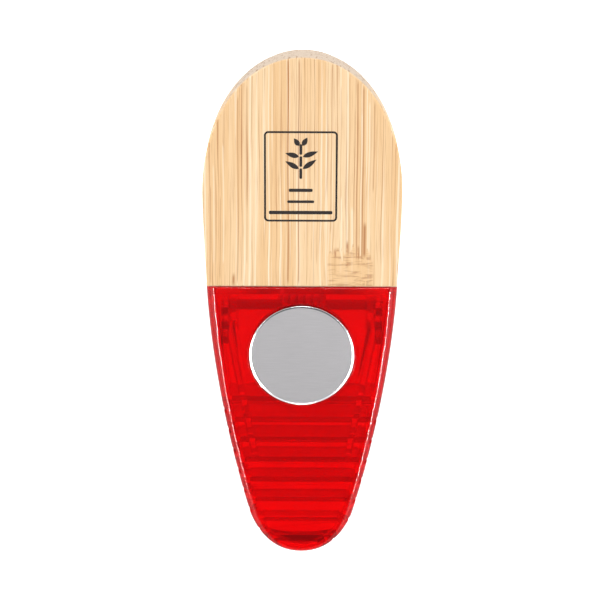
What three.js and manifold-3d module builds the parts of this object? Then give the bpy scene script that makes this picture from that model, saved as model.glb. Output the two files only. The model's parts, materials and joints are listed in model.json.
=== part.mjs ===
// A magnetic spring clip for bags and notes: two levers of clear red plastic and bamboo,
// hinged on a steel pin and held shut by a torsion spring, with a disc magnet let into the back.
//
// Units are millimetres and +Z is up. The clip lies on its front lever. +Y runs from the jaws to the
// handles and X is the hinge's direction. The origin is under the middle of the clip's bounding box.
//
// Each lever is built lying flat in its own frame: x across, y from the jaw's nose (y = 0) to the end
// of the handle, and z = 0 on the flat outer face with all of the lever below it.

import * as THREE from 'three';
import { mergeVertices } from 'three/addons/utils/BufferGeometryUtils.js';
import Module from 'manifold-3d';

const wasm = await Module();
wasm.setup();

// ---------------------------------------------------------------- driving dimensions

const LEVER_LENGTH = 100;
const JOINT_Y = 55.7; // where the plastic jaw ends and the bamboo begins
const LEAN_DEG = 11.5; // each outer face leans this much from the parting plane
const NOSE_DEPTH = 3.2; // outer face to parting plane at the nose
const PIVOT_Y = 48.2;

const JAW_HALF_WIDTH = 18.15; // at the joint
const NOSE_HALF_WIDTH = 10; // where the round nose meets the flanks
const NOSE_LENGTH = 8;
const HANDLE_HALF_WIDTH = 18.6; // at its widest
const HANDLE_WIDEST_Y = 74;
const HANDLE_JOINT_HALF_WIDTH = 17.95;
const BAMBOO_THICKNESS = 6;
const BAMBOO_EDGE = 0.5; // radius of its edges

const PLATE = 2.6; // outer plate of the jaw
const WALL = 1.7; // side walls
const EDGE_ACROSS = 1.75; // rounding of the jaw's outer edge, across and down
const EDGE_DROP = 3;
const PARTING_GAP = 0.15; // each jaw stops this short of the parting plane
const LIP_THICKNESS = 1.8; // wall that stands under the joint, in front of the bamboo
const CROSS_WALL = 1.6; // wall behind the jaw's ribs

const TOOTH_PITCH = 4.2;
const RIB_THICKNESS = 1.1;
const RIB_BITE = 0.6; // ribs reach this far past the parting plane, between the other jaw's ribs
const BITE_CLEARANCE = 0.4; // between the ends of those ribs and the other jaw's walls
const BACK_RIBS = 7;
const FRONT_RIBS = 6;
const FIRST_RIB_Y = 3.05; // on the back lever; the front lever's ribs lie half a pitch behind
const NOTCH_WIDTH = 0.9;
const NOTCH_SKIN = 0.7; // plastic left above each notch
const FIRST_NOTCH_Y = 2.9;
const NOTCH_COUNT = 7;

const STIFFENER_START = [14.4, 49]; // middle of its end at the hinge ears, x and y
const STIFFENER_LENGTH = 29.5;
const STIFFENER_TURN_DEG = 10.6; // inwards
const STIFFENER_THICKNESS = 1.1;
const STIFFENER_DEPTH = 5.7; // below the outer face

const PIN_RADIUS = 1;
const PIN_CLEARANCE = 0.05;
const PIN_HALF_LENGTH = 15.4;
const EAR_THICKNESS = 1.25;
const EAR_RADIUS = 3.2;
const EAR_FOOT = 1.3; // each ear is this much wider than its lobe where it meets the plate
const FRONT_EAR_X = 12.6; // inner faces of the two pairs of ears
const BACK_EAR_X = 14.05;
const WALL_RELIEF_DEG = 13.5; // how far the walls fall away from the parting plane behind the pivot
const WALL_RELIEF_RUN = 4; // over this length, before they sweep up to the tongue

const TONGUE_LENGTH = 15;
const TONGUE_HALF_WIDTH = 12.5;
const TONGUE_THICKNESS = 2;
const TONGUE_CORNER = 4;
const GLUE_GAP = 0.3;
const SEAT_GAP = 0.1; // between the end of the bamboo and the plastic

const SCREW_X = 8;
const SCREW_Y = 64.9;
const SCREW_SHANK = 0.95; // radii
const SCREW_HEAD = 2;
const SCREW_HEAD_HEIGHT = 1.2;
const SCREW_LENGTH = 6.4;
const SCREW_POINT = 1; // length of its cone
const HOLE_CLEARANCE = 0.2;
const PILOT_CLEARANCE = 0.1;

const MAGNET_Y = 42.2;
const CAP_RADIUS = 10;
const CAP_PROUD = 0.5;
const CAP_HEIGHT = 1.65;
const CAP_SHEET = 0.5;
const CAP_CORNER = 0.6;
const POCKET_DEPTH = 1.5;
const POCKET_CLEARANCE = 0.3;
const MAGNET_THICKNESS = 1.05;
const MAGNET_CLEARANCE = 0.2; // round the magnet, inside the cap
const PAD_THICKNESS = 0.25;
const PAD_INSET = 0.4; // from the cap's edge
const THIN_GAP = 0.05; // between parts that touch in the real clip

const WIRE_RADIUS = 0.65;
const COIL_RADIUS = 3; // to the middle of the wire
const COIL_HALF_LENGTH = 4;
const COIL_TURNS = 6; // whole turns that the two legs' angles are counted back from
const SPRING_LEG = 18;
const LEG_CLEARANCE = 0.15; // between a leg's end and the tongue that it presses on

const RED = { color: 0xc80404, roughness: 0.12, metalness: 0 };
const BAMBOO = { color: 0xe6bf8a, roughness: 0.55, metalness: 0 };
const STEEL = { color: 0xb9bbbd, roughness: 0.3, metalness: 1 };
const DARK_STEEL = { color: 0x77797c, roughness: 0.35, metalness: 1 };
const FERRITE = { color: 0x2c2c2e, roughness: 0.6, metalness: 0.2 };
const FOAM = { color: 0xe8e8e4, roughness: 0.9, metalness: 0 };

// ---------------------------------------------------------------- values worked out from them

const rad = THREE.MathUtils.degToRad;
const LEAN = rad(LEAN_DEG);
const partingDepth = (y) => NOSE_DEPTH + y * Math.tan(LEAN);
const PIVOT_DEPTH = partingDepth(PIVOT_Y);
const TONGUE_TOP = -BAMBOO_THICKNESS - GLUE_GAP;
const TONGUE_BOTTOM = TONGUE_TOP - TONGUE_THICKNESS;
const BLOCK_DEPTH = 30; // deeper than any jaw, before it is cut to the parting plane
const OVERRUN = 4; // length past a cut, so that rounded edges and walls run clean through it
const WELD = 1e-4;

// ---------------------------------------------------------------- solids

function toSolid(geometry) {
  const bare = geometry.clone();
  bare.deleteAttribute('normal');
  bare.deleteAttribute('uv');
  const merged = mergeVertices(bare, WELD);
  return new wasm.Manifold(new wasm.Mesh({
    numProp: 3,
    vertProperties: new Float32Array(merged.attributes.position.array),
    triVerts: new Uint32Array(merged.index.array),
  }));
}

function toGeometry(solid) {
  const { vertProperties, triVerts } = solid.getMesh();
  const geometry = new THREE.BufferGeometry();
  geometry.setAttribute('position', new THREE.BufferAttribute(vertProperties, 3));
  geometry.setIndex(new THREE.BufferAttribute(triVerts, 1));
  geometry.computeVertexNormals();
  return geometry;
}

function joined(solids) {
  return solids.reduce((all, next) => all.add(next));
}

function box(x0, x1, y0, y1, z0, z1) {
  const geometry = new THREE.BoxGeometry(x1 - x0, y1 - y0, z1 - z0);
  geometry.translate((x0 + x1) / 2, (y0 + y1) / 2, (z0 + z1) / 2);
  return toSolid(geometry);
}

// A flat shape in x and y, drawn down from z = top to z = bottom.
function slab(shape, top, bottom) {
  const geometry = new THREE.ExtrudeGeometry(shape, {
    depth: top - bottom,
    bevelEnabled: false,
    curveSegments: 4,
  });
  geometry.translate(0, 0, bottom);
  return toSolid(geometry);
}

// The same with its upper and lower edges rounded; the shape is the widest outline.
function roundedSlab(shape, top, bottom, across, drop, steps) {
  const geometry = new THREE.ExtrudeGeometry(shape, {
    depth: top - bottom - 2 * drop,
    bevelThickness: drop,
    bevelSize: across,
    bevelOffset: -across,
    bevelSegments: steps,
  });
  geometry.translate(0, 0, bottom + drop);
  return toSolid(geometry);
}

// A side view in y and z, extruded across the lever from x0 to x1.
function sideSlab(shape, x0, x1) {
  const geometry = new THREE.ExtrudeGeometry(shape, {
    depth: x1 - x0,
    bevelEnabled: false,
    curveSegments: 8,
  });
  const xAxis = new THREE.Vector3(1, 0, 0);
  const yAxis = new THREE.Vector3(0, 1, 0);
  const zAxis = new THREE.Vector3(0, 0, 1);
  geometry.applyMatrix4(new THREE.Matrix4().makeBasis(yAxis, zAxis, xAxis));
  geometry.translate(x0, 0, 0);
  return toSolid(geometry);
}

function polygon(points) {
  return new THREE.Shape(points.map(([x, y]) => new THREE.Vector2(x, y)));
}

function diskAt(x, y, top, bottom, radius, segments) {
  const geometry = new THREE.CylinderGeometry(radius, radius, top - bottom, segments);
  geometry.rotateX(Math.PI / 2);
  geometry.translate(x, y, (top + bottom) / 2);
  return toSolid(geometry);
}

function rodAcross(halfLength, radius) {
  const geometry = new THREE.CylinderGeometry(radius, radius, 2 * halfLength, 24);
  geometry.rotateZ(Math.PI / 2);
  geometry.translate(0, PIVOT_Y, -PIVOT_DEPTH);
  return geometry;
}

// ---------------------------------------------------------------- outlines

function bezier(...points) {
  return new THREE.CubicBezierCurve(...points.map(([x, y]) => new THREE.Vector2(x, y)));
}

// How far the control points of the curves below lie from their ends.
const FLANK_BULGE = 3.2;
const FLANK_TAPER = 0.75;
const SWELL_BULGE = 0.2;
const SWELL_PULL = 6;
const CROWN_PULL = 13.9;

const noseCurve = bezier(
  [0, 0],
  [0.52 * NOSE_HALF_WIDTH, 0],
  [0.83 * NOSE_HALF_WIDTH, 0.45 * NOSE_LENGTH],
  [NOSE_HALF_WIDTH, NOSE_LENGTH],
);
const flankCurve = bezier(
  [NOSE_HALF_WIDTH, NOSE_LENGTH],
  [NOSE_HALF_WIDTH + FLANK_BULGE, 0.34 * JOINT_Y],
  [JAW_HALF_WIDTH - FLANK_TAPER, 0.69 * JOINT_Y],
  [JAW_HALF_WIDTH, JOINT_Y],
);
const swellCurve = bezier(
  [HANDLE_JOINT_HALF_WIDTH, JOINT_Y + SEAT_GAP],
  [HANDLE_JOINT_HALF_WIDTH + SWELL_BULGE, JOINT_Y + SWELL_PULL],
  [HANDLE_HALF_WIDTH, HANDLE_WIDEST_Y - SWELL_PULL],
  [HANDLE_HALF_WIDTH, HANDLE_WIDEST_Y],
);
const crownCurve = bezier(
  [HANDLE_HALF_WIDTH, HANDLE_WIDEST_Y],
  [HANDLE_HALF_WIDTH, HANDLE_WIDEST_Y + CROWN_PULL],
  [0.6 * HANDLE_HALF_WIDTH, LEVER_LENGTH],
  [0, LEVER_LENGTH],
);

// Points along the right-hand side of an outline, moved inwards by inset.
function sidePoints(curve, steps, inset) {
  const points = [];
  for (let i = 0; i <= steps; i += 1) {
    const t = i / steps;
    const tangent = curve.getTangent(t);
    const point = curve.getPoint(t);
    points.push([point.x - tangent.y * inset, point.y + tangent.x * inset]);
  }
  return points;
}

// Mirrors a right-hand side that starts on the centre line into a closed shape.
function mirrored(right) {
  const left = right.filter(([x]) => x > WELD).map(([x, y]) => [-x, y]);
  return polygon([...right, ...left.reverse()]);
}

function jawShape(inset) {
  const nose = sidePoints(noseCurve, 14, inset);
  const flank = sidePoints(flankCurve, 20, inset).slice(1);
  const [endX, endY] = flank[flank.length - 1];
  return mirrored([...nose, ...flank, [endX, endY + OVERRUN]]);
}

function handleShape() {
  const swell = sidePoints(swellCurve, 8, 0);
  const crown = sidePoints(crownCurve, 24, 0).slice(1, -1);
  const right = [...swell, ...crown];
  const left = right.map(([x, y]) => [-x, y]).reverse();
  return polygon([...right, [0, LEVER_LENGTH], ...left]);
}

// ---------------------------------------------------------------- jaw shells

// Everything above the parting plane. Behind the pivot the walls sweep up to the tongue, and leave
// the plane steeply enough for the levers to swing.
function abovePartingPlane(offset) {
  const nearY = -OVERRUN;
  const reliefY = PIVOT_Y + WALL_RELIEF_RUN;
  const reliefRise = WALL_RELIEF_RUN * Math.tan(rad(WALL_RELIEF_DEG) - LEAN);
  const pivotZ = offset - PIVOT_DEPTH;
  const shape = new THREE.Shape();
  shape.moveTo(nearY, 1);
  shape.lineTo(nearY, offset - partingDepth(nearY));
  shape.lineTo(PIVOT_Y, pivotZ);
  shape.quadraticCurveTo(reliefY, pivotZ + reliefRise, JOINT_Y, TONGUE_BOTTOM);
  shape.lineTo(JOINT_Y, 1);
  return sideSlab(shape, -BLOCK_DEPTH, BLOCK_DEPTH);
}

function crossSlabs(ribYs, thickness, bottom) {
  const half = thickness / 2;
  const reach = HANDLE_HALF_WIDTH;
  return joined(ribYs.map((y) => box(-reach, reach, y - half, y + half, bottom, -PLATE / 2)));
}

function ribPlaces(firstY, count) {
  return Array.from({ length: count }, (_, i) => firstY + i * TOOTH_PITCH);
}

// Notches through the side walls. Those on the left lie half a pitch behind those on the right.
function wallNotches() {
  const half = NOTCH_WIDTH / 2;
  const cuts = [];
  for (let i = 0; i < NOTCH_COUNT; i += 1) {
    const right = FIRST_NOTCH_Y + i * TOOTH_PITCH;
    const left = right + TOOTH_PITCH / 2;
    cuts.push(box(1, BLOCK_DEPTH, right - half, right + half, -BLOCK_DEPTH, -NOTCH_SKIN));
    cuts.push(box(-BLOCK_DEPTH, -1, left - half, left + half, -BLOCK_DEPTH, -NOTCH_SKIN));
  }
  const breakthrough = 0.12; // the notches run this far into the cavity
  return joined(cuts).subtract(slab(jawShape(WALL + breakthrough), 1, -BLOCK_DEPTH - 1));
}

// Two low stiffening ribs run forward from the hinge ears, in among the ribs of the jaw.
function stiffeners() {
  const height = STIFFENER_DEPTH - PLATE / 2;
  const [startX, startY] = STIFFENER_START;
  return joined([-1, 1].map((side) => {
    const geometry = new THREE.BoxGeometry(STIFFENER_THICKNESS, STIFFENER_LENGTH, height);
    geometry.translate(0, -STIFFENER_LENGTH / 2, height / 2 - STIFFENER_DEPTH);
    geometry.rotateZ(-side * rad(STIFFENER_TURN_DEG));
    geometry.translate(side * startX, startY, 0);
    return toSolid(geometry);
  }));
}

function hingeEars(innerX) {
  const foot = EAR_RADIUS + EAR_FOOT;
  const shape = new THREE.Shape();
  shape.moveTo(PIVOT_Y - foot, -PLATE / 2);
  shape.lineTo(PIVOT_Y - EAR_RADIUS, -PIVOT_DEPTH);
  shape.absarc(PIVOT_Y, -PIVOT_DEPTH, EAR_RADIUS, Math.PI, 2 * Math.PI, false);
  shape.lineTo(PIVOT_Y + foot, -PLATE / 2);
  const outerX = innerX + EAR_THICKNESS;
  return sideSlab(shape, -outerX, -innerX).add(sideSlab(shape, innerX, outerX));
}

// The tongue under the bamboo, with the two holes for its screws.
function tongue() {
  const corner = TONGUE_CORNER;
  const half = TONGUE_HALF_WIDTH;
  const rootY = JOINT_Y - 1;
  const endY = JOINT_Y + TONGUE_LENGTH;
  const shape = new THREE.Shape();
  shape.moveTo(-half, rootY);
  shape.lineTo(half, rootY);
  shape.lineTo(half, endY - corner);
  shape.absarc(half - corner, endY - corner, corner, 0, Math.PI / 2, false);
  shape.lineTo(corner - half, endY);
  shape.absarc(corner - half, endY - corner, corner, Math.PI / 2, Math.PI, false);
  const plate = slab(shape, TONGUE_TOP, TONGUE_BOTTOM);
  const holeRadius = SCREW_SHANK + HOLE_CLEARANCE;
  const holes = [-SCREW_X, SCREW_X].map(
    (x) => diskAt(x, SCREW_Y, TONGUE_TOP + 1, TONGUE_BOTTOM - 1, holeRadius, 24),
  );
  return plate.subtract(joined(holes));
}

function jawShell(ribYs, earX, hasPocket) {
  const crossWallY = FIRST_NOTCH_Y + NOTCH_COUNT * TOOTH_PITCH;
  const block = roundedSlab(jawShape(0), 0, -BLOCK_DEPTH, EDGE_ACROSS, EDGE_DROP, 8);
  const cavity = slab(jawShape(WALL), -PLATE, -BLOCK_DEPTH - 1);
  const midWall = slab(jawShape(WALL / 2), 0, -BLOCK_DEPTH);
  const insideOther = slab(jawShape(WALL + BITE_CLEARANCE), 0, -BLOCK_DEPTH);

  const ribs = crossSlabs(ribYs, RIB_THICKNESS, -BLOCK_DEPTH);
  const crossWall = crossSlabs([crossWallY], CROSS_WALL, -BLOCK_DEPTH);
  const lip = crossSlabs([JOINT_Y], 2 * LIP_THICKNESS, TONGUE_BOTTOM);
  const inner = joined([ribs, crossWall, lip]).intersect(midWall);
  const bites = ribs.intersect(insideOther).intersect(abovePartingPlane(-RIB_BITE));

  let shell = block.subtract(cavity).add(inner).intersect(abovePartingPlane(PARTING_GAP));
  shell = joined([shell, bites, stiffeners(), hingeEars(earX), tongue()]);
  shell = shell.subtract(wallNotches());
  shell = shell.subtract(toSolid(rodAcross(PIN_HALF_LENGTH + 0.1, PIN_RADIUS + PIN_CLEARANCE)));
  if (hasPocket) {
    const pocketRadius = CAP_RADIUS + POCKET_CLEARANCE;
    shell = shell.subtract(diskAt(0, MAGNET_Y, 1, -POCKET_DEPTH, pocketRadius, 72));
  }
  return toGeometry(shell);
}

// ---------------------------------------------------------------- bamboo and its screws

function bambooHandle() {
  const board = roundedSlab(handleShape(), 0, -BAMBOO_THICKNESS, BAMBOO_EDGE, BAMBOO_EDGE, 3);
  const depth = SCREW_LENGTH - TONGUE_THICKNESS - GLUE_GAP + HOLE_CLEARANCE;
  const top = depth - BAMBOO_THICKNESS;
  const radius = SCREW_SHANK + PILOT_CLEARANCE;
  const pilots = [-SCREW_X, SCREW_X].map(
    (x) => diskAt(x, SCREW_Y, top, -BAMBOO_THICKNESS - 1, radius, 24),
  );
  return toGeometry(board.subtract(joined(pilots)));
}

function lathed(profile, segments) {
  const points = profile.map(([r, z]) => new THREE.Vector2(r, z));
  const geometry = new THREE.LatheGeometry(points, segments);
  geometry.rotateX(Math.PI / 2);
  return geometry;
}

// A pan-head screw, driven from inside through the tongue into the bamboo.
function handleScrew() {
  const seat = -THIN_GAP;
  const flatRadius = 0.6 * SCREW_HEAD;
  const crown = SCREW_HEAD - flatRadius;
  const sideTop = seat - 0.4 * SCREW_HEAD_HEIGHT;
  const steps = 3;
  const profile = [[0, seat - SCREW_HEAD_HEIGHT]];
  for (let i = 0; i <= steps; i += 1) {
    const angle = (i / steps) * (Math.PI / 2);
    const drop = 0.6 * SCREW_HEAD_HEIGHT * Math.cos(angle);
    profile.push([flatRadius + crown * Math.sin(angle), sideTop - drop]);
  }
  profile.push([SCREW_HEAD, seat], [SCREW_SHANK, seat]);
  profile.push([SCREW_SHANK, SCREW_LENGTH - SCREW_POINT], [0, SCREW_LENGTH]);
  return lathed(profile, 24);
}

// ---------------------------------------------------------------- magnet

// A pressed steel cap, open underneath, that carries the disc magnet.
function magnetCap() {
  const steps = 6;
  const outer = [[0, CAP_PROUD]];
  for (let i = 0; i <= steps; i += 1) {
    const angle = (i / steps) * (Math.PI / 2);
    const r = CAP_RADIUS - CAP_CORNER + CAP_CORNER * Math.sin(angle);
    outer.push([r, CAP_PROUD - CAP_CORNER + CAP_CORNER * Math.cos(angle)]);
  }
  const rimZ = CAP_PROUD - CAP_HEIGHT;
  const innerRadius = CAP_RADIUS - CAP_SHEET;
  const roofZ = CAP_PROUD - CAP_SHEET;
  const profile = [...outer, [CAP_RADIUS, rimZ], [innerRadius, rimZ], [innerRadius, roofZ], [0, roofZ]];
  return lathed(profile.reverse(), 72);
}

function discAtMagnet(radius, top, bottom) {
  const geometry = new THREE.CylinderGeometry(radius, radius, top - bottom, 48);
  geometry.rotateX(Math.PI / 2);
  geometry.translate(0, 0, (top + bottom) / 2);
  return geometry;
}

// ---------------------------------------------------------------- torsion spring

// The wire's middle line: the front lever's leg, the coil round the pin, the back lever's leg.
// Angles are about X, from +Y towards +Z, and the pivot is at the curve's origin.
class SpringCurve extends THREE.Curve {
  constructor(frontLegAngle, backLegAngle) {
    super();
    this.frontAngle = frontLegAngle;
    this.backAngle = backLegAngle;
    this.startTurn = frontLegAngle - Math.PI / 2;
    this.endTurn = backLegAngle + Math.PI / 2 - 2 * Math.PI * COIL_TURNS;
    this.coilLength = Math.abs(this.endTurn - this.startTurn) * COIL_RADIUS;
    this.fullLength = this.coilLength + 2 * SPRING_LEG;
  }

  onCoil(share) {
    const turn = THREE.MathUtils.lerp(this.startTurn, this.endTurn, share);
    const x = THREE.MathUtils.lerp(-COIL_HALF_LENGTH, COIL_HALF_LENGTH, share);
    return new THREE.Vector3(x, COIL_RADIUS * Math.cos(turn), COIL_RADIUS * Math.sin(turn));
  }

  getPoint(t, target = new THREE.Vector3()) {
    const along = t * this.fullLength;
    const intoBackLeg = along - SPRING_LEG - this.coilLength;
    if (along < SPRING_LEG) {
      const direction = new THREE.Vector3(0, Math.cos(this.frontAngle), Math.sin(this.frontAngle));
      return target.copy(this.onCoil(0)).addScaledVector(direction, SPRING_LEG - along);
    }
    if (intoBackLeg > 0) {
      const direction = new THREE.Vector3(0, Math.cos(this.backAngle), Math.sin(this.backAngle));
      return target.copy(this.onCoil(1)).addScaledVector(direction, intoBackLeg);
    }
    return target.copy(this.onCoil((along - SPRING_LEG) / this.coilLength));
  }
}

function torsionSpring() {
  const legRise = TONGUE_BOTTOM + PIVOT_DEPTH - WIRE_RADIUS - LEG_CLEARANCE - COIL_RADIUS;
  const legLean = Math.atan2(legRise, SPRING_LEG);
  const wire = new THREE.Shape();
  wire.absarc(0, 0, WIRE_RADIUS, 0, 2 * Math.PI, false);
  return new THREE.ExtrudeGeometry(wire, {
    steps: 90,
    curveSegments: 4,
    bevelEnabled: false,
    extrudePath: new SpringCurve(-legLean, 2 * LEAN + legLean),
  });
}

// ---------------------------------------------------------------- assembly

function part(name, geometry, look) {
  const mesh = new THREE.Mesh(geometry, new THREE.MeshStandardMaterial(look));
  mesh.name = name;
  return mesh;
}

function screws(side) {
  return [[-SCREW_X, 'left'], [SCREW_X, 'right']].map(([x, hand]) => {
    const screw = part(`${side}_screw_${hand}`, handleScrew(), STEEL);
    screw.position.set(x, SCREW_Y, TONGUE_BOTTOM);
    return screw;
  });
}

// The front lever is turned over, so that its outer face is underneath.
function frontLever() {
  const lever = new THREE.Group();
  const ribYs = ribPlaces(FIRST_RIB_Y + TOOTH_PITCH / 2, FRONT_RIBS);
  lever.add(part('front_jaw_shell', jawShell(ribYs, FRONT_EAR_X, false), RED));
  lever.add(part('front_bamboo_handle', bambooHandle(), BAMBOO));
  lever.add(...screws('front'));
  lever.rotation.y = Math.PI;
  return lever;
}

function magnet() {
  const group = new THREE.Group();
  const magnetTop = CAP_PROUD - CAP_SHEET - THIN_GAP;
  const magnetRadius = CAP_RADIUS - CAP_SHEET - MAGNET_CLEARANCE;
  const disc = discAtMagnet(magnetRadius, magnetTop, magnetTop - MAGNET_THICKNESS);
  const padBottom = THIN_GAP - POCKET_DEPTH;
  const pad = discAtMagnet(CAP_RADIUS - PAD_INSET, padBottom + PAD_THICKNESS, padBottom);
  group.add(part('magnet_cap', magnetCap(), STEEL));
  group.add(part('disc_magnet', disc, FERRITE));
  group.add(part('magnet_adhesive_pad', pad, FOAM));
  group.position.set(0, MAGNET_Y, 0);
  return group;
}

// The back lever stands up from the pivot by twice the lean.
function backLever() {
  const lever = new THREE.Group();
  const ribYs = ribPlaces(FIRST_RIB_Y, BACK_RIBS);
  lever.add(part('back_jaw_shell', jawShell(ribYs, BACK_EAR_X, true), RED));
  lever.add(part('back_bamboo_handle', bambooHandle(), BAMBOO));
  lever.add(...screws('back'));
  lever.add(magnet());
  lever.position.set(0, -PIVOT_Y, PIVOT_DEPTH);

  const swing = new THREE.Group();
  swing.add(lever);
  swing.rotation.x = 2 * LEAN;
  swing.position.set(0, PIVOT_Y, PIVOT_DEPTH);
  return swing;
}

function hinge() {
  const spring = part('torsion_spring', torsionSpring(), DARK_STEEL);
  spring.position.set(0, PIVOT_Y, PIVOT_DEPTH);
  const pin = part('hinge_pin', rodAcross(PIN_HALF_LENGTH, PIN_RADIUS), STEEL);
  pin.rotation.y = Math.PI;
  return [pin, spring];
}

function clip() {
  const group = new THREE.Group();
  group.add(frontLever(), backLever(), ...hinge());
  const bounds = new THREE.Box3().setFromObject(group, true);
  const middle = bounds.getCenter(new THREE.Vector3());
  group.position.set(-middle.x, -middle.y, -bounds.min.z);
  return group;
}

export default clip();
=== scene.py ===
# A magnetic bag clip with bamboo handles and clear red jaws, lying on a white floor.
#
# Each lever has its own frame, in which its pieces are drawn in millimetres: x across, y from the
# jaw's nose to the end of the handle, and z = 0 on the flat outer face with the lever below it.

import json
import math

import bmesh
import bpy
from mathutils import Matrix, Vector


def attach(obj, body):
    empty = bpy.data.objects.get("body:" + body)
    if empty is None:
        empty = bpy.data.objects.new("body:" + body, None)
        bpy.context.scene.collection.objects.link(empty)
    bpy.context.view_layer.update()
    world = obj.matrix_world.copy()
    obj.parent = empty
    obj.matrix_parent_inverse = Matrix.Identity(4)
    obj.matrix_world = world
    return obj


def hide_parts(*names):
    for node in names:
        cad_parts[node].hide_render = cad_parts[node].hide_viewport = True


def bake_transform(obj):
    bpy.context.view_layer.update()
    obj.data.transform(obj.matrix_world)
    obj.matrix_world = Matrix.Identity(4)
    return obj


# ---------------------------------------------------------------- dimensions, in millimetres

MM = 0.001

LEAN_DEG = 11.5  # each outer face leans this much from the parting plane
PIVOT_Y = 48.2

EDGE_SOFTENING = 0.1  # how far moulded and sanded edges are rounded
EDGE_DEG = 28  # edges sharper than this are rounded
FLAT_DEG = 0.25  # faces that meet at less than this count as one
WELD = 0.002  # points closer than this count as one
OVERRUN = 1  # how far a cutter stands out of what it cuts

CREASE_DEG = 32  # edges sharper than this shade as creases
SOFTENED_CREASE_DEG = 40
RECESS_CREASE_DEG = 30
ARC_STEPS = 6

MAGNET_Y = 42.2
CAP_RADIUS = 10
CAP_TOP = 0.5
CAP_RIM_WIDTH = 0.16
CAP_RIM_SLOPE = 0.2  # from the rim down to the brushed face
CAP_RIM_HEIGHT = 0.11  # above the brushed face inside it
CAP_RIM_SWEEP_DEG = 120  # its rounding, from the cap's outside over its crest
CAP_RIM_STEPS = 10
CAP_FACE_MARGIN = 0.1  # outermost ring of the brushed face, which keeps its shading flat
CAP_BOTTOM = -1.15
CAP_SHEET = 0.45
CAP_ROOF_SHEET = 0.35
CAP_SEGMENTS = 128

PIN_RADIUS = 1
PIN_HALF_LENGTH = 15.4
PIN_CHAMFER = 0.25
PIN_DIMPLE_DEPTH = 0.1  # in the middle of each end
PIN_DIMPLE_FLOOR_RADIUS = 0.3
PIN_DIMPLE_RADIUS = 0.45
PIN_SEGMENTS = 48

WIRE_RADIUS = 0.65
WIRE_SIDES = 16
COIL_RADIUS = 3
COIL_HALF_LENGTH = 4
COIL_TURNS = 6
COIL_STEPS_A_TURN = 24
SPRING_LEG = 18
LEG_RISE = 0.9  # from its root on the coil to its end
LEG_SHARES = (1, 0.75, 0.5, 0.25)  # the leg's points, from its end to its root

SCREW_X = 8
SCREW_Y = 64.9
SCREW_SEAT = -8.35
SCREW_HEAD_RADIUS = 2
SCREW_HEAD_HEIGHT = 1.2
SCREW_HEAD_ROUNDING = 0.8
SCREW_HEAD_SWEEP_DEG = 80
SCREW_SHANK_RADIUS = 0.95
SCREW_SHANK_LENGTH = 6.45
SCREW_PLAIN_LENGTH = 1  # of the shank, without thread
SCREW_TIP_LENGTH = 0.8
SCREW_THREAD_START = 0.1
SCREW_THREAD_PITCH = 0.9
SCREW_THREAD_DEPTH = 0.2
SCREW_THREAD_ROOT = 0.3  # where the thread's root and crest lie in each pitch, as shares of it
SCREW_THREAD_CREST = 0.9
SCREW_SEGMENTS = 32
RECESS_ARM = 1.15
RECESS_HALF_WIDTH = 0.24
RECESS_DEPTH = 0.75

MARK_PROUD = 0.02
MARK_SUNK = 0.05
MARK_CENTRE = (-0.3, 77.4)
MARK_SIZE = (13.6, 17.3)
MARK_CORNER = 0.8
MARK_LINE = 0.36
MARK_ROUNDING = 0.2  # of the stalk's pieces and the bars
SPRIG_FOOT = -0.4  # above the mark's centre
STALK_COUNT = 3
STALK_SIZE = (0.5, 2.0)
STALK_PITCH = 2.3
LEAF_WIDTH = 0.95
LEAF_STEPS = 8
LEAF_FULLNESS = 0.8  # below 1, a leaf is widest nearer its foot
# Each leaf's foot from the sprig's foot, its direction in degrees, and its length.
LEAVES = (
    ((0.35, 1.9), 35, 3.1),
    ((-0.35, 1.9), 150, 2.9),
    ((0.35, 4.2), 20, 3.0),
    ((-0.35, 4.2), 165, 2.6),
    ((0.3, 6.3), 60, 1.8),
    ((-0.3, 6.3), 125, 1.7),
)
# Each bar's place above the mark's centre, its width and its height.
BARS = ((-2.6, 4.4, 0.6), (-4.8, 5.0, 0.5), (-6.9, 11.8, 0.65))

# ---------------------------------------------------------------- the frame

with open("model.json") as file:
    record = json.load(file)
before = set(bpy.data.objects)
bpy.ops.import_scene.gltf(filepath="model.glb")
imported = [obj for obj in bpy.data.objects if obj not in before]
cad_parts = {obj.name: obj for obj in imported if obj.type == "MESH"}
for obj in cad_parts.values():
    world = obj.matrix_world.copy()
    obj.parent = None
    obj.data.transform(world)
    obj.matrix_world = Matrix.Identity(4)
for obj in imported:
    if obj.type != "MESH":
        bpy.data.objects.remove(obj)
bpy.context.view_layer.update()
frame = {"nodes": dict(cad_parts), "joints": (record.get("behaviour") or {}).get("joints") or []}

PIVOT = Vector(frame["joints"][0]["pos_m"])
TO_PIVOT = Matrix.Translation((0, -PIVOT_Y * MM, PIVOT.z))
FRONT_LEVER = Matrix.Translation(PIVOT) @ Matrix.Rotation(math.pi, 4, "Y") @ TO_PIVOT
BACK_LEVER = Matrix.Translation(PIVOT) @ Matrix.Rotation(math.radians(2 * LEAN_DEG), 4, "X") @ TO_PIVOT
LEVERS = {"front": FRONT_LEVER, "back": BACK_LEVER}


# ---------------------------------------------------------------- node trees

def node(tree, kind, inputs=None, **settings):
    """A new shader node. An input is a plain value or another node's output."""
    made = tree.nodes.new("ShaderNode" + kind)
    for key, value in settings.items():
        setattr(made, key, value)
    for key, value in (inputs or {}).items():
        connected(tree, made.inputs[key], value)
    return made


def connected(tree, socket, value):
    """Links a node's output to the socket, or sets the socket to a plain value."""
    if isinstance(value, bpy.types.NodeSocket):
        tree.links.new(value, socket)
    else:
        socket.default_value = value


def maths(tree, operation, *values, clamp=False):
    return node(tree, "Math", dict(enumerate(values)), operation=operation, use_clamp=clamp).outputs[0]


def product(tree, first, second):
    return maths(tree, "MULTIPLY", first, second)


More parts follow.
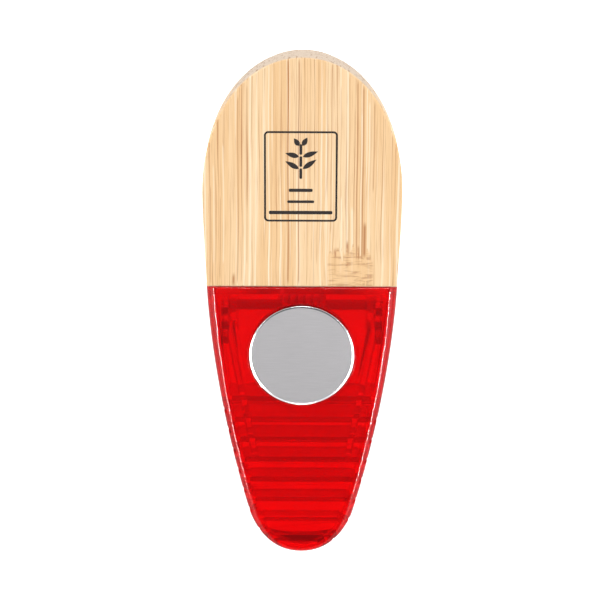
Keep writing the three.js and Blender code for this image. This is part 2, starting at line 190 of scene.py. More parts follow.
def mixed(tree, share, first, second):
    """The colour that is first where share is 0 and second where it is 1."""
    made = node(tree, "Mix", data_type="RGBA")
    made.clamp_factor = True
    factor, first_colour, second_colour = made.inputs[0], made.inputs[6], made.inputs[7]
    connected(tree, factor, share)
    connected(tree, first_colour, first)
    connected(tree, second_colour, second)
    return made.outputs[2]


def spread(tree, share, low, high):
    """The value that is low where share is 0 and high where it is 1."""
    return node(tree, "MapRange", {"Value": share, "To Min": low, "To Max": high}).outputs[0]


def ramp(tree, value, low, high):
    """0 where value is low, 1 where it is high, and smooth between."""
    inputs = {"Value": value, "From Min": low, "From Max": high}
    return node(tree, "MapRange", inputs, interpolation_type="SMOOTHSTEP", clamp=True).outputs[0]


def colour(red, green, blue):
    """A screen colour, 0 to 255, as the linear colour that shaders use."""
    def linear(channel):
        share = channel / 255
        return share / 12.92 if share <= 0.04045 else ((share + 0.055) / 1.055) ** 2.4
    return (linear(red), linear(green), linear(blue), 1)


def grain_noise(tree, point, cells, detail=2.0, roughness=0.5, distortion=0.0):
    """Noise with so many cells to the millimetre along x, y and z."""
    stretched = node(tree, "VectorMath", {0: point, 1: cells}, operation="MULTIPLY").outputs[0]
    inputs = {
        "Vector": stretched,
        "Scale": 1.0,
        "Detail": detail,
        "Roughness": roughness,
        "Distortion": distortion,
    }
    return node(tree, "TexNoise", inputs).outputs[0]


def material_tree(name):
    """A new material, its node tree, and the place on the piece in millimetres."""
    material = bpy.data.materials.new(name)
    material.use_nodes = True
    tree = material.node_tree
    tree.nodes.clear()
    place = node(tree, "TexCoord").outputs["Object"]
    point = node(tree, "VectorMath", {0: place, "Scale": 1 / MM}, operation="SCALE").outputs[0]
    return material, tree, point


def finish_material(tree, inputs, bump=None, bump_distance=0.0):
    """Ends the tree in a Principled shader. Bump distance is in millimetres."""
    shader = node(tree, "BsdfPrincipled", inputs)
    if bump is not None:
        relief = node(tree, "Bump", {"Height": bump, "Strength": 1.0, "Distance": bump_distance * MM})
        tree.links.new(relief.outputs[0], shader.inputs["Normal"])
    output = node(tree, "OutputMaterial")
    tree.links.new(shader.outputs[0], output.inputs[0])


# ---------------------------------------------------------------- clear red plastic

RED_DEEP = (0.86, 0.004, 0.007, 1)
RED_BRIGHT = (0.94, 0.006, 0.010, 1)
RED_CLOUD_CELLS = (0.12, 0.12, 0.12)
RED_HAZE_CELLS = (0.9, 0.9, 0.9)
RED_RIPPLE_CELLS = (0.35, 0.35, 0.35)
RED_RIPPLE_HEIGHT = 0.01


def red_plastic():
    material, tree, point = material_tree("clear_red_plastic")
    cloud = grain_noise(tree, point, RED_CLOUD_CELLS, detail=1.0)
    haze = grain_noise(tree, point, RED_HAZE_CELLS, detail=3.0)
    ripple = grain_noise(tree, point, RED_RIPPLE_CELLS, detail=1.0)
    inputs = {
        "Base Color": mixed(tree, cloud, RED_DEEP, RED_BRIGHT),
        "Roughness": spread(tree, haze, 0.03, 0.10),
        "IOR": 1.49,
        "Transmission Weight": 0.78,
        "Specular IOR Level": 0.35,
    }
    finish_material(tree, inputs, bump=ripple, bump_distance=RED_RIPPLE_HEIGHT)
    return material


# ---------------------------------------------------------------- bamboo

BAMBOO_PALE = colour(234, 203, 161)
BAMBOO_TAN = colour(226, 187, 138)
BAMBOO_CREAM = colour(241, 222, 192)
BAMBOO_BROWN = colour(166, 104, 56)
BAMBOO_KNOT = colour(184, 134, 92)
BAMBOO_END = colour(194, 177, 159)
BAMBOO_END_DOT = colour(160, 134, 112)
FIBRE_HEIGHT = 0.012

# Layers of the grain, from broad strips to single fibres: cells to the millimetre along x, y and z,
# the noise's roughness, the values at which the layer's colour starts and is full, its strength and
# the colour.
GRAIN_LAYERS = (
    ((0.30, 0.008, 0.3), 0.5, 0.36, 0.64, 1.0, BAMBOO_TAN),
    ((1.5, 0.010, 0.8), 0.5, 0.55, 0.63, 0.75, BAMBOO_CREAM),
    ((3.4, 0.016, 2.6), 0.6, 0.43, 0.31, 0.75, BAMBOO_BROWN),
    ((8.0, 0.10, 6.0), 0.6, 0.48, 0.30, 0.35, BAMBOO_BROWN),
)
STREAK_FADE = 1.5  # over this length a grain line fades out at its ends

# Fibres wander sideways by this much, and by more near the knuckle.
WANDER_CELLS = (0.09, 0.045, 0.09)
WANDER = 0.5
WANDER_AT_KNUCKLE = 1.7
WANDER_REACH = 4  # times the knuckle's half height

# The knuckle's ragged patch, and the waves of fibre that run across it.
PATCH_STRENGTH = 0.75
PATCH_SIDE_FADE = 0.35
PATCH_END_FADE = 0.5
RAGGED_CELLS = (1.3, 0.25, 0.8)
RAGGED_DEPTH = 9.0
WAVE_CELLS = (0.28, 1.5, 0.4)
WAVE_DISTORTION = 0.9
WAVE_PALE = 0.58
WAVE_DARK = 0.34

# Cut ends are told by how far the surface faces along the grain.
END_FROM = 0.25
END_FULL = 0.75
END_DOT_CELLS = (2.2, 0.08, 2.2)
END_DOT_FROM = 0.45
END_DOT_FULL = 0.32

# Grain lines that stand out: x, half width, lowest y, highest y, strength.
BACK_BROWN_LINES = (
    (-17.0, 0.16, 56, 76, 0.5),
    (-15.2, 0.14, 57, 74, 0.5),
    (-12.6, 0.40, 55.5, 59.0, 0.9),
    (-11.9, 0.16, 56, 93, 0.7),
    (-11.2, 0.12, 56, 95, 0.5),
    (-10.3, 0.12, 60, 95, 0.4),
    (-2.67, 0.24, 56, 100, 0.8),
    (-0.7, 0.20, 56, 100, 0.8),
    (0.9, 0.10, 56, 74, 0.5),
    (2.9, 0.12, 60, 100, 0.4),
    (5.3, 0.16, 66, 99, 0.5),
    (6.2, 0.40, 57.6, 64.0, 0.9),
    (7.0, 0.10, 68, 95, 0.4),
    (8.3, 0.34, 58.8, 65.5, 0.9),
    (8.6, 0.14, 61, 97, 0.5),
    (10.1, 0.20, 60, 96, 0.8),
    (10.5, 0.34, 59.0, 64.5, 0.9),
    (11.2, 0.22, 60, 95, 0.8),
    (11.7, 0.46, 61.2, 69.0, 0.9),
    (13.2, 0.20, 74, 92, 0.6),
)
BACK_PALE_LINES = (
    (-16.4, 0.16, 60, 80, 0.6),
    (-14.6, 0.18, 60, 84, 0.7),
    (-6.2, 0.14, 56, 99, 0.9),
    (3.4, 0.10, 70, 100, 0.6),
    (5.0, 0.12, 56, 70, 0.6),
    (7.2, 0.26, 58, 74, 0.8),
    (9.2, 0.30, 58, 72, 0.9),
    (10.9, 0.20, 60, 90, 0.8),
    (12.3, 0.20, 62, 92, 0.7),
)
FRONT_BROWN_LINES = (
    (-9.4, 0.18, 56, 96, 0.7),
    (-4.1, 0.14, 56, 99, 0.5),
    (1.8, 0.20, 56, 100, 0.7),
    (6.6, 0.16, 56, 98, 0.6),
    (12.4, 0.18, 58, 93, 0.7),
)
FRONT_PALE_LINES = (
    (-6.9, 0.16, 56, 98, 0.8),
    (4.4, 0.14, 60, 99, 0.7),
    (10.2, 0.16, 56, 96, 0.6),
)

# Each knuckle's centre x and y, half width and half height.
BACK_KNUCKLE = (9.2, 58.8, 4.2, 4.0)
FRONT_KNUCKLE = (-8.5, 84.0, 4.0, 1.6)

# Each board's grain is cut from the noise this far along x.
BACK_GRAIN_SHIFT = 0.0
FRONT_GRAIN_SHIFT = 41.0


def streak(tree, across, along, line):
    """A share that is full on the middle of a grain line and fades out at its sides and ends."""
    x, half_width, low, high, strength = line
    side = maths(tree, "DIVIDE", maths(tree, "ABSOLUTE", maths(tree, "SUBTRACT", across, x)), half_width)
    body = product(tree, maths(tree, "SUBTRACT", 1.0, side, clamp=True), strength)
    foot = ramp(tree, along, low, low + STREAK_FADE)
    tip = ramp(tree, along, high, high - STREAK_FADE)
    return product(tree, body, product(tree, foot, tip))


def inside(tree, value, low, high, fade):
    """1 between low and high, 0 outside, with a soft edge."""
    above_low = ramp(tree, value, low - fade, low + fade)
    below_high = ramp(tree, value, high + fade, high - fade)
    return product(tree, above_low, below_high)


def swung(tree, value, noise, swing):
    """The value moved by up to half the swing either way."""
    return maths(tree, "ADD", value, product(tree, maths(tree, "SUBTRACT", noise, 0.5), swing))


def wandered(tree, point, x, y, knuckle):
    """x as the fibres see it, which swing sideways most at the knuckle."""
    _, knuckle_y, _, half_height = knuckle
    noise = grain_noise(tree, point, WANDER_CELLS, detail=1.0)
    nearness = ramp(tree, y, knuckle_y + WANDER_REACH * half_height, knuckle_y)
    return swung(tree, x, noise, spread(tree, nearness, WANDER, WANDER_AT_KNUCKLE))


def long_grain(tree, bent):
    """The colour of the long grain, and its finest layer."""
    base = BAMBOO_PALE
    for cells, roughness, start, full, strength, tint in GRAIN_LAYERS:
        layer = grain_noise(tree, bent, cells, roughness=roughness)
        base = mixed(tree, product(tree, ramp(tree, layer, start, full), strength), base, tint)
    return base, layer


def with_knuckle(tree, base, point, across, y, knuckle):
    """The base with a ragged patch of crosswise waves where a stem's knuckle was."""
    centre_x, centre_y, half_width, half_height = knuckle
    raggedness = grain_noise(tree, point, RAGGED_CELLS, detail=1.0)
    height = swung(tree, y, raggedness, RAGGED_DEPTH)
    patch = product(
        tree,
        inside(tree, across, centre_x - half_width, centre_x + half_width, PATCH_SIDE_FADE),
        inside(tree, height, centre_y - half_height, centre_y + half_height, PATCH_END_FADE),
    )
    waves = grain_noise(tree, point, WAVE_CELLS, roughness=0.6, distortion=WAVE_DISTORTION)
    crossed = mixed(tree, ramp(tree, waves, WAVE_PALE, WAVE_DARK), BAMBOO_TAN, BAMBOO_KNOT)
    return mixed(tree, product(tree, patch, PATCH_STRENGTH), base, crossed)


def with_cut_ends(tree, base, point):
    """The base with greyer cut ends, dotted with the ends of the fibre bundles."""
    normal = node(tree, "SeparateXYZ", {0: node(tree, "TexCoord").outputs["Normal"]})
    along_grain = maths(tree, "ABSOLUTE", normal.outputs[1])
    dots = grain_noise(tree, point, END_DOT_CELLS, detail=1.0)
    dotted = mixed(tree, ramp(tree, dots, END_DOT_FROM, END_DOT_FULL), BAMBOO_END, BAMBOO_END_DOT)
    return mixed(tree, ramp(tree, along_grain, END_FROM, END_FULL), base, dotted)


def bamboo(name, grain_shift, brown_lines, pale_lines, knuckle):
    """Pressed bamboo: strips and fibre bundles along y, one knuckle of a stem, and cut ends."""
    material, tree, point = material_tree(name)
    x, y, z = node(tree, "SeparateXYZ", {0: point}).outputs
    across = wandered(tree, point, x, y, knuckle)
    shifted = maths(tree, "ADD", across, grain_shift)
    bent = node(tree, "CombineXYZ", {0: shifted, 1: y, 2: z}).outputs[0]
    base, fibres = long_grain(tree, bent)
    for line in pale_lines:
        base = mixed(tree, streak(tree, across, y, line), base, BAMBOO_CREAM)
    for line in brown_lines:
        base = mixed(tree, streak(tree, across, y, line), base, BAMBOO_BROWN)
    base = with_knuckle(tree, base, point, across, y, knuckle)
    base = with_cut_ends(tree, base, point)
    inputs = {
        "Base Color": base,
        "Roughness": 0.6,
        "Specular IOR Level": 0.15,
    }
    finish_material(tree, inputs, bump=fibres, bump_distance=FIBRE_HEIGHT)
    return material


def front_bamboo():
    return bamboo("bamboo_front", FRONT_GRAIN_SHIFT, FRONT_BROWN_LINES, FRONT_PALE_LINES, FRONT_KNUCKLE)


def back_bamboo():
    return bamboo("bamboo_back", BACK_GRAIN_SHIFT, BACK_BROWN_LINES, BACK_PALE_LINES, BACK_KNUCKLE)


# ---------------------------------------------------------------- metals and dull solids

BRUSHED_DARK = colour(168, 166, 168)
BRUSHED_LIGHT = colour(190, 188, 190)
BRUSHED_CELLS = (0.25, 9.0, 0.25)

# Plated steels: darkest and lightest colour, lowest and highest roughness.
STEELS = {
    "polished_steel": (colour(190, 190, 191), colour(206, 206, 206), 0.14, 0.2),
    # The pin's steel is darker than plain steel: painted shade, so that it shows as a dark band between
    # the ears.
    "pin_steel": (colour(122, 122, 126), colour(142, 142, 146), 0.10, 0.18),
    "spring_steel": (colour(196, 197, 200), colour(214, 214, 216), 0.2, 0.3),
    "screw_steel": (colour(180, 181, 184), colour(206, 206, 208), 0.2, 0.32),
}
STEEL_CELLS = (3.0, 3.0, 3.0)
STEEL_MARK_HEIGHT = 0.004

# Dull solids: darkest and lightest colour, roughness, grains to the millimetre, height of the grains.
DULL_SOLIDS = {
    "burnt_ink": (colour(12, 8, 6), colour(34, 22, 16), 0.85, 3.0, 0.01),
    "ferrite": (colour(38, 38, 41), colour(58, 58, 60), 0.6, 6.0, 0.01),
    "adhesive_foam": (colour(225, 225, 220), colour(244, 244, 240), 0.9, 5.0, 0.03),
}

FLOOR_DARK = (0.45, 0.45, 0.45, 1)
FLOOR_LIGHT = (0.47, 0.47, 0.47, 1)
FLOOR_SPECK_CELLS = (0.05, 0.05, 0.05)
FLOOR_GLOW = 1.05
WHITE = (1, 1, 1, 1)


def brushed_steel():
    """Satin steel with fine brushing along x."""
    material, tree, point = material_tree("brushed_steel")
    lines = grain_noise(tree, point, BRUSHED_CELLS, detail=3.0, roughness=0.6)
    inputs = {
        "Base Color": mixed(tree, lines, BRUSHED_DARK, BRUSHED_LIGHT),
        "Metallic": 0.55,
        "Roughness": spread(tree, lines, 0.27, 0.34),
    }
    finish_material(tree, inputs, bump=lines, bump_distance=STEEL_MARK_HEIGHT)
    return material


def plated_steel(name):
    """Steel with faint turning or drawing marks."""
    dark, light, smoothest, roughest = STEELS[name]
    material, tree, point = material_tree(name)
    marks = grain_noise(tree, point, STEEL_CELLS, detail=4.0, roughness=0.65)
    inputs = {
        "Base Color": mixed(tree, marks, dark, light),
        "Metallic": 1.0,
        "Roughness": spread(tree, marks, smoothest, roughest),
    }
    finish_material(tree, inputs, bump=marks, bump_distance=STEEL_MARK_HEIGHT)
    return material


def dull_solid(name):
    """A dull grainy solid."""
    dark, light, roughness, grains_to_mm, grain_height = DULL_SOLIDS[name]
    material, tree, point = material_tree(name)
    grains = grain_noise(tree, point, (grains_to_mm,) * 3, detail=4.0, roughness=0.6)
    inputs = {
        "Base Color": mixed(tree, grains, dark, light),
        "Roughness": roughness,
        "Specular IOR Level": 0.3,
    }
    finish_material(tree, inputs, bump=grains, bump_distance=grain_height)
    return material


def white_floor():
    material, tree, point = material_tree("floor_white")
    specks = grain_noise(tree, point, FLOOR_SPECK_CELLS)
    inputs = {
        "Base Color": mixed(tree, specks, FLOOR_DARK, FLOOR_LIGHT),
        "Roughness": 0.8,
        "Specular IOR Level": 0.0,
        "Emission Color": WHITE,
        "Emission Strength": FLOOR_GLOW,
    }
    finish_material(tree, inputs)
    return material


# ---------------------------------------------------------------- mesh tools

def placed(name, mesh, lever):
    """A new object in the scene that holds the mesh in the lever's frame."""
    made = bpy.data.objects.new(name, mesh)
    bpy.context.scene.collection.objects.link(made)
    made.matrix_world = lever
    return made


def piece(name, draft, lever, material):
    """Turns a bmesh drawn in millimetres in a lever's frame into an object of the clip."""
    mesh = bpy.data.meshes.new(name)
    bmesh.ops.scale(draft, vec=(MM, MM, MM), verts=draft.verts)
    bmesh.ops.recalc_face_normals(draft, faces=draft.faces)
    draft.to_mesh(mesh)
    draft.free()
    made = placed(name, mesh, lever)
    mesh.materials.append(material)
    shaded(made, CREASE_DEG)
    return made


def shaded(made, crease_deg):
    """Smooth shading, with creases above the angle and flat faces that stay flat beside roundings."""
    made.data.shade_smooth()
    made.data.set_sharp_from_angle(angle=math.radians(crease_deg))
    weights = made.modifiers.new("normals", "WEIGHTED_NORMAL")
    weights.mode = "FACE_AREA"
    weights.weight = 100
    weights.keep_sharp = True
    apply_modifiers(made)


def apply_modifiers(made):
    evaluated = made.evaluated_get(bpy.context.evaluated_depsgraph_get())
    mesh = bpy.data.meshes.new_from_object(evaluated)
    made.modifiers.clear()
    made.data = mesh


def softened(name, cad_node, lever, material):
    """A finer copy of a CAD node in its lever's frame, with its sharp edges rounded as moulded or
    sanded edges are."""
    mesh = frame["nodes"][cad_node].data.copy()
    mesh.name = name
    mesh.materials.clear()
    mesh.materials.append(material)
    draft = bmesh.new()
    draft.from_mesh(mesh)
    bmesh.ops.remove_doubles(draft, verts=draft.verts, dist=WELD * MM)
    bmesh.ops.dissolve_limit(draft, angle_limit=math.radians(FLAT_DEG), verts=draft.verts,
                             edges=draft.edges)
    bmesh.ops.transform(draft, matrix=lever.inverted(), verts=draft.verts)
    draft.to_mesh(mesh)
    draft.free()
    made = placed(name, mesh, lever)
    rounding = made.modifiers.new("rounding", "BEVEL")
    rounding.width = EDGE_SOFTENING * MM
    rounding.segments = 2
    rounding.limit_method = "ANGLE"
    rounding.angle_limit = math.radians(EDGE_DEG)
    rounding.use_clamp_overlap = False
    apply_modifiers(made)
    shaded(made, SOFTENED_CREASE_DEG)
    return made


def arc(centre, radius, start_deg, end_deg, steps):
    """Points on an arc, angles counted from the first axis towards the second."""
    points = []
    for i in range(steps + 1):
        angle = math.radians(start_deg + (end_deg - start_deg) * i / steps)
        points.append((centre[0] + radius * math.cos(angle), centre[1] + radius * math.sin(angle)))
    return points


def rounded_rectangle(centre, size, corner):
    half_x, half_y = size[0] / 2 - corner, size[1] / 2 - corner
    outline = []
    for quarter, (side_x, side_y) in enumerate(((1, 1), (-1, 1), (-1, -1), (1, -1))):
        middle = (centre[0] + side_x * half_x, centre[1] + side_y * half_y)
        outline += arc(middle, corner, 90 * quarter, 90 * quarter + 90, ARC_STEPS)
    return outline


def lathed(profile, segments):
    """Turns a profile of (radius, z) points about the z axis. Its ends lie on the axis."""
    draft = bmesh.new()
    points = [draft.verts.new((r, 0, z)) for r, z in profile]
    edges = [draft.edges.new(pair) for pair in zip(points, points[1:])]
    bmesh.ops.spin(draft, geom=points + edges, axis=(0, 0, 1), cent=(0, 0, 0),
                   angle=2 * math.pi, steps=segments, use_duplicate=False)
    bmesh.ops.remove_doubles(draft, verts=draft.verts, dist=1e-5)
    return draft


def skin(draft, rings):
    """Joins each ring of points to the next with a band of faces."""
    for ring, following in zip(rings, rings[1:]):
        for i in range(len(ring)):
            j = (i + 1) % len(ring)
            draft.faces.new((ring[i], ring[j], following[j], following[i]))


def prism(draft, outline, bottom, top):
    """Adds an upright prism on an outline of (x, y) points."""
    low = [draft.verts.new((x, y, bottom)) for x, y in outline]
    high = [draft.verts.new((x, y, top)) for x, y in outline]
    draft.faces.new(low[::-1])
    draft.faces.new(high)
    skin(draft, [low, high])


def settled(made, body, slot, *nodes):
    """The piece rides on its body and stands for its CAD nodes, which are hidden. The slot is not used.
    """
    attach(made, body)
    if nodes:
        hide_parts(*nodes)


# ---------------------------------------------------------------- jaws and handles

def jaw_shells(material):
    for side, lever in LEVERS.items():
        cad_node = f"{side}_jaw_shell"
        made = softened(f"{side}_jaw", cad_node, lever, material)
        settled(made, f"{side}_lever", "red_plastic", cad_node)


def handle_boards(materials):
    for side, lever in LEVERS.items():
        cad_node = f"{side}_bamboo_handle"
        made = softened(f"{side}_board", cad_node, lever, materials[side])
        settled(made, f"{side}_lever", "bamboo", cad_node)


# ---------------------------------------------------------------- magnet

def cap_profile(face_radius):
    """From the axis under the roof, round the wall and the rim, to the axis on the brushed face."""
    crest = CAP_RIM_WIDTH / 2
    face_z = CAP_TOP - CAP_RIM_HEIGHT
    roof_z = face_z - CAP_ROOF_SHEET
    inner_radius = CAP_RADIUS - CAP_SHEET
    return [
        (0, roof_z),
        (inner_radius, roof_z),
        (inner_radius, CAP_BOTTOM),
        (CAP_RADIUS, CAP_BOTTOM),
        *arc((CAP_RADIUS - crest, CAP_TOP - crest), crest, 0, CAP_RIM_SWEEP_DEG, CAP_RIM_STEPS),
        (face_radius, face_z),
        (face_radius - CAP_FACE_MARGIN, face_z),
        (0, face_z),
    ]


def magnet_cap(face_material, rim_material):
    """A pressed steel cap: a brushed face inside a raised polished rim, hollow underneath."""
    face_radius = CAP_RADIUS - CAP_RIM_WIDTH - CAP_RIM_SLOPE
    draft = lathed(cap_profile(face_radius), CAP_SEGMENTS)
    bmesh.ops.translate(draft, vec=(0, MAGNET_Y, 0), verts=draft.verts)
    made = piece("magnet_cap_face", draft, BACK_LEVER, face_material)
    made.data.materials.append(rim_material)
    for polygon in made.data.polygons:
        radius = math.hypot(polygon.center.x, polygon.center.y - MAGNET_Y * MM)
        if radius > face_radius * MM:
            polygon.material_index = 1
    settled(made, "back_lever", "brushed_cap", "magnet_cap")


def hidden_magnet(ferrite, foam):
    """The CAD nodes inside the cap keep their shapes."""
    for name, material in (("disc_magnet", ferrite), ("magnet_adhesive_pad", foam)):
        kept = frame["nodes"][name]
        kept.data.materials.clear()
        kept.data.materials.append(material)


# ---------------------------------------------------------------- hinge

def hinge_pin(material):
    """A pin with chamfered ends and a shallow dimple in each."""
    end = [
        (0, PIN_HALF_LENGTH - PIN_DIMPLE_DEPTH),
        (PIN_DIMPLE_FLOOR_RADIUS, PIN_HALF_LENGTH - PIN_DIMPLE_DEPTH),
        (PIN_DIMPLE_RADIUS, PIN_HALF_LENGTH),
        (PIN_RADIUS - PIN_CHAMFER, PIN_HALF_LENGTH),
        (PIN_RADIUS, PIN_HALF_LENGTH - PIN_CHAMFER),
    ]
    other_end = [(r, -z) for r, z in reversed(end)]
    draft = lathed(end + other_end, PIN_SEGMENTS)
    turn = Matrix.Rotation(math.pi / 2, 4, "Y")
    bmesh.ops.transform(draft, matrix=turn, verts=draft.verts)
    made = piece("pin", draft, Matrix.Translation(PIVOT), material)
    settled(made, "front_lever", "pin_steel", "hinge_pin")


def spring_path():
    """The wire's middle line about the pivot: front leg, coil, back leg."""
    lean = math.atan2(LEG_RISE, SPRING_LEG)
    back = 2 * math.radians(LEAN_DEG) + lean
    start = -lean - math.pi / 2
    end = back + math.pi / 2 - 2 * math.pi * COIL_TURNS
    steps = COIL_STEPS_A_TURN * COIL_TURNS
    coil = []
    for i in range(steps + 1):
        turn = start + (end - start) * i / steps
        x = -COIL_HALF_LENGTH + 2 * COIL_HALF_LENGTH * i / steps
        coil.append(Vector((x, COIL_RADIUS * math.cos(turn), COIL_RADIUS * math.sin(turn))))
    front_leg = Vector((0, math.cos(-lean), math.sin(-lean)))
    back_leg = Vector((0, math.cos(back), math.sin(back)))
    first = [coil[0] + front_leg * SPRING_LEG * share for share in LEG_SHARES]
    last = [coil[-1] + back_leg * SPRING_LEG * share for share in reversed(LEG_SHARES)]
    return first + coil + last


def wire(points, radius, sides):
    """A round wire along the points, cut square at its ends."""
    draft = bmesh.new()
    side = Vector((1, 0, 0))
    rings = []
    for i, point in enumerate(points):
        ahead = points[min(i + 1, len(points) - 1)] - points[max(i - 1, 0)]
        ahead.normalize()
        side = (side - ahead * side.dot(ahead)).normalized()
        up = ahead.cross(side)
        ring = []
        for k in range(sides):
            angle = 2 * math.pi * k / sides
            offset = side * math.cos(angle) + up * math.sin(angle)
            ring.append(draft.verts.new(point + offset * radius))
        rings.append(ring)
    skin(draft, rings)
    draft.faces.new(rings[0])
    draft.faces.new(rings[-1])
    return draft


def torsion_spring(material):
    """The coil that turns from one lever to the other along its length."""
    draft = wire(spring_path(), WIRE_RADIUS, WIRE_SIDES)
    made = piece("spring", draft, Matrix.Translation(PIVOT), material)
    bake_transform(made)
    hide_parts("torsion_spring")


# ---------------------------------------------------------------- screws

def screw_mesh():
    """A pan-head screw, with its seat at the origin and its head below."""
    rounding_centre = (SCREW_HEAD_RADIUS - SCREW_HEAD_ROUNDING, -SCREW_HEAD_HEIGHT / 2)
    dome = arc(rounding_centre, SCREW_HEAD_ROUNDING, -SCREW_HEAD_SWEEP_DEG, 0, ARC_STEPS)
    head = [(r, max(z, -SCREW_HEAD_HEIGHT)) for r, z in dome]
    root_radius = SCREW_SHANK_RADIUS - SCREW_THREAD_DEPTH
    turns = int((SCREW_SHANK_LENGTH - SCREW_PLAIN_LENGTH) / SCREW_THREAD_PITCH)
    thread = []
    for i in range(turns):
        z = SCREW_THREAD_START + i * SCREW_THREAD_PITCH
        thread.append((root_radius, z + SCREW_THREAD_ROOT * SCREW_THREAD_PITCH))
        thread.append((SCREW_SHANK_RADIUS, z + SCREW_THREAD_CREST * SCREW_THREAD_PITCH))
    profile = [
        (0, -SCREW_HEAD_HEIGHT),
        *head,
        (SCREW_HEAD_RADIUS, 0),
        (SCREW_SHANK_RADIUS, 0),
        *thread,
        (root_radius, SCREW_SHANK_LENGTH - SCREW_TIP_LENGTH),
        (0, SCREW_SHANK_LENGTH),
    ]
    return lathed(profile, SCREW_SEGMENTS)


def cross_recess(made):
    """Cuts the cross that a driver fits into."""
    draft = bmesh.new()
    bottom = -SCREW_HEAD_HEIGHT - OVERRUN
    top = -SCREW_HEAD_HEIGHT + RECESS_DEPTH
    for x, y in ((RECESS_ARM, RECESS_HALF_WIDTH), (RECESS_HALF_WIDTH, RECESS_ARM)):
        prism(draft, [(-x, -y), (x, -y), (x, y), (-x, y)], bottom, top)
    cutter = piece("recess_cutter", draft, made.matrix_world, made.data.materials[0])
    cut = made.modifiers.new("recess", "BOOLEAN")
    cut.object = cutter
    cut.operation = "DIFFERENCE"
    cut.solver = "EXACT"
    cut.use_self = True
    apply_modifiers(made)
    shaded(made, RECESS_CREASE_DEG)
    bpy.data.objects.remove(cutter)


def handle_screws(material):
    for side, lever in LEVERS.items():
        for x, hand in ((-SCREW_X, "left"), (SCREW_X, "right")):
            place = lever @ Matrix.Translation((x * MM, SCREW_Y * MM, SCREW_SEAT * MM))
            made = piece(f"{side}_{hand}_screw", screw_mesh(), place, material)
            cross_recess(made)
            settled(made, f"{side}_lever", "screw_steel", f"{side}_screw_{hand}")


# ---------------------------------------------------------------- burnt mark

def inked(draft, outline):
    """Adds a shape of the mark, from just under the bamboo's face to just above it."""
    prism(draft, outline, -MARK_SUNK, MARK_PROUD)


def mark_frame(draft):
    inner_size = [side - 2 * MARK_LINE for side in MARK_SIZE]
    outer = rounded_rectangle(MARK_CENTRE, MARK_SIZE, MARK_CORNER)
    inner = rounded_rectangle(MARK_CENTRE, inner_size, MARK_CORNER - MARK_LINE)
    corners = ((outer, -MARK_SUNK), (outer, MARK_PROUD), (inner, MARK_PROUD), (inner, -MARK_SUNK))
    rings = [[draft.verts.new((x, y, z)) for x, y in outline] for outline, z in corners]
    skin(draft, rings + rings[:1])


def leaf_outline(foot, angle_deg, length):
    """A pointed leaf that starts at its foot."""
    turn = math.radians(angle_deg)
    left_shares = [i / LEAF_STEPS for i in range(LEAF_STEPS)]
    right_shares = [1 - share for share in left_shares]
    outline = []
    for side, shares in ((1, left_shares), (-1, right_shares)):
        for share in shares:
            along = length * share
            half = side * LEAF_WIDTH / 2 * math.sin(math.pi * share ** LEAF_FULLNESS)
            x = foot[0] + along * math.cos(turn) - half * math.sin(turn)
            y = foot[1] + along * math.sin(turn) + half * math.cos(turn)
            outline.append((x, y))
    return outline


def sprig(draft):
    """Bamboo leaves on a jointed stalk."""
    x, y = MARK_CENTRE[0], MARK_CENTRE[1] + SPRIG_FOOT
    for i in range(STALK_COUNT):
        middle = (x, y + i * STALK_PITCH + STALK_SIZE[1] / 2)
        inked(draft, rounded_rectangle(middle, STALK_SIZE, MARK_ROUNDING))
    for foot, angle_deg, length in LEAVES:
        inked(draft, leaf_outline((x + foot[0], y + foot[1]), angle_deg, length))


def bars(draft):
    x, y = MARK_CENTRE
    for offset, width, height in BARS:
        inked(draft, rounded_rectangle((x, y + offset), (width, height), MARK_ROUNDING))


def burnt_mark(material):
    """A plain frame round a bamboo sprig and three bars, burnt into the back handle."""
    draft = bmesh.new()
    mark_frame(draft)
    sprig(draft)
    bars(draft)
    made = piece("burnt_mark", draft, BACK_LEVER, material)
    settled(made, "back_lever", "bamboo")


# ---------------------------------------------------------------- the clip

def build_clip():
    jaw_shells(red_plastic())
    handle_boards({"front": front_bamboo(), "back": back_bamboo()})
    rim_material = plated_steel("polished_steel")
    magnet_cap(brushed_steel(), rim_material)
    hinge_pin(plated_steel("pin_steel"))
    torsion_spring(plated_steel("spring_steel"))
    handle_screws(plated_steel("screw_steel"))
    burnt_mark(dull_solid("burnt_ink"))
    hidden_magnet(dull_solid("ferrite"), dull_solid("adhesive_foam"))


# ---------------------------------------------------------------- studio, in metres

FLOOR_SIZE = 4.0
FLOOR_Z = -0.0001  # clear of the front lever's outer face

SKY_STRENGTH = 1.75
HORIZON_SHARE = 0.68  # brightness at the horizon and below it, as shares of the sky's overhead
GROUND_SHARE = 0.22
# Heights of a direction between which the sky brightens to full from a share.
SKY_GRADES = ((-0.25, -0.1, GROUND_SHARE / HORIZON_SHARE), (-0.1, 0.7, HORIZON_SHARE))
# Darker sides of the sky, as direction and share of its strength. The first is what the tilted outer
# face mirrors towards the camera, and the second reaches from there down to the horizon.
DARK_SIDES = (((0.0, -0.667, 0.743), 0.09), ((0.0, -0.951, 0.309), 0.1))
DARK_NEAR_DEG = 14
DARK_FAR_DEG = 38

# Lights that show only as highlights: direction from the pivot, width and length, radiance.
HIGHLIGHT_DISTANCE = 1.0
HIGHLIGHTS = {
    "right_strip": ((0.475, -0.617, 0.626), (0.05, 0.7), 90),
    "left_strip": ((-0.475, -0.617, 0.626), (0.05, 0.7), 60),
    "top_light": ((0.0, 0.10, 0.995), (0.3, 0.3), 25),
}

CAMERA_TARGET_MM = (-0.36, 53.3)  # on the back lever's outer face
CAMERA_DISTANCE = 0.375
CAMERA_LEAN_DEG = 4.1  # towards the jaws
CAMERA_YAW_DEG = -0.1  # towards -x
CAMERA_ROLL_DEG = 0.25
CAMERA_LENS = 119.1


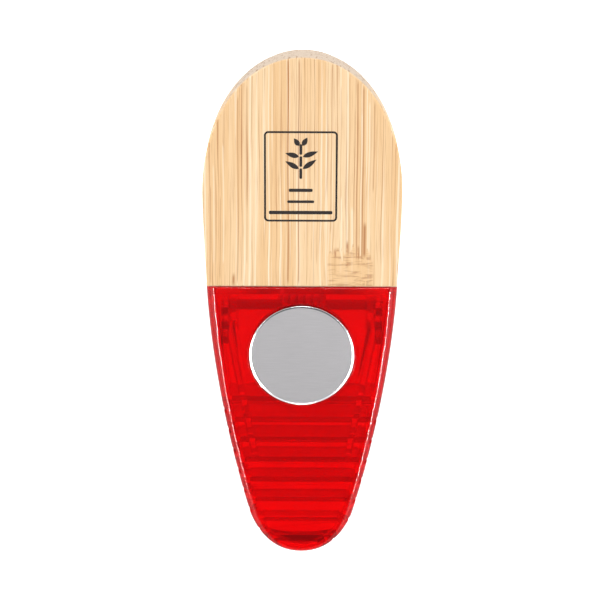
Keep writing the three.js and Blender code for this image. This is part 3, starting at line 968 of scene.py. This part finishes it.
def floor():
    bpy.ops.mesh.primitive_plane_add(size=FLOOR_SIZE)
    made = bpy.context.object
    made.name = "floor"
    made.location.z = FLOOR_Z
    made.data.materials.append(white_floor())
    made.visible_glossy = False  # reflections see the darker ground below the horizon instead


def graded(tree, value, low, high, share):
    """A share of the sky's strength where value is low, and all of it where it is high."""
    inputs = {"Value": value, "From Min": low, "From Max": high, "To Min": share, "To Max": 1.0}
    return node(tree, "MapRange", inputs).outputs[0]


def sky():
    """White light all round, dimmer low down, with a dark side that keeps glare off the plastic."""
    world = bpy.data.worlds.new("studio")
    bpy.context.scene.world = world
    world.use_nodes = True
    tree = world.node_tree
    tree.nodes.clear()
    direction = node(tree, "TexCoord").outputs["Generated"]
    near, far = math.cos(math.radians(DARK_NEAR_DEG)), math.cos(math.radians(DARK_FAR_DEG))
    strength = SKY_STRENGTH
    for side, share in DARK_SIDES:
        dot = node(tree, "VectorMath", {0: direction, 1: side}, operation="DOT_PRODUCT")
        lit = ramp(tree, dot.outputs["Value"], near, far)
        strength = product(tree, spread(tree, lit, share, 1.0), strength)
    height = node(tree, "SeparateXYZ", {0: direction}).outputs[2]
    for low, high, share in SKY_GRADES:
        strength = product(tree, graded(tree, height, low, high, share), strength)
    background = node(tree, "Background", {"Color": WHITE, "Strength": strength})
    output = node(tree, "OutputWorld")
    tree.links.new(background.outputs[0], output.inputs[0])


def highlights():
    for name, (direction, size, radiance) in HIGHLIGHTS.items():
        data = bpy.data.lights.new(name, "AREA")
        data.shape = "RECTANGLE"
        data.size, data.size_y = size
        data.energy = radiance * math.pi * size[0] * size[1]
        made = bpy.data.objects.new(name, data)
        bpy.context.scene.collection.objects.link(made)
        away = Vector(direction).normalized()
        made.location = PIVOT + away * HIGHLIGHT_DISTANCE
        made.rotation_mode = "QUATERNION"
        made.rotation_quaternion = (-away).to_track_quat("-Z", "Y")
        made.visible_diffuse = False
        made.visible_transmission = False


def camera():
    data = bpy.data.cameras.new("camera")
    data.lens = CAMERA_LENS
    made = bpy.data.objects.new("camera", data)
    bpy.context.scene.collection.objects.link(made)
    target = BACK_LEVER @ Vector((CAMERA_TARGET_MM[0] * MM, CAMERA_TARGET_MM[1] * MM, 0))
    lean, yaw = math.radians(CAMERA_LEAN_DEG), math.radians(CAMERA_YAW_DEG)
    towards = Vector((-math.tan(yaw), -math.tan(lean), 1)).normalized()
    right = Vector((0, 1, 0)).cross(towards).normalized()
    up = towards.cross(right)
    turn = Matrix((right, up, towards)).transposed().to_4x4()
    roll = Matrix.Rotation(math.radians(CAMERA_ROLL_DEG), 4, "Z")
    made.matrix_world = Matrix.Translation(target + towards * CAMERA_DISTANCE) @ turn @ roll
    bpy.context.scene.camera = made


build_clip()
floor()
sky()
highlights()
camera()
bpy.context.scene.view_settings.view_transform = "Standard"
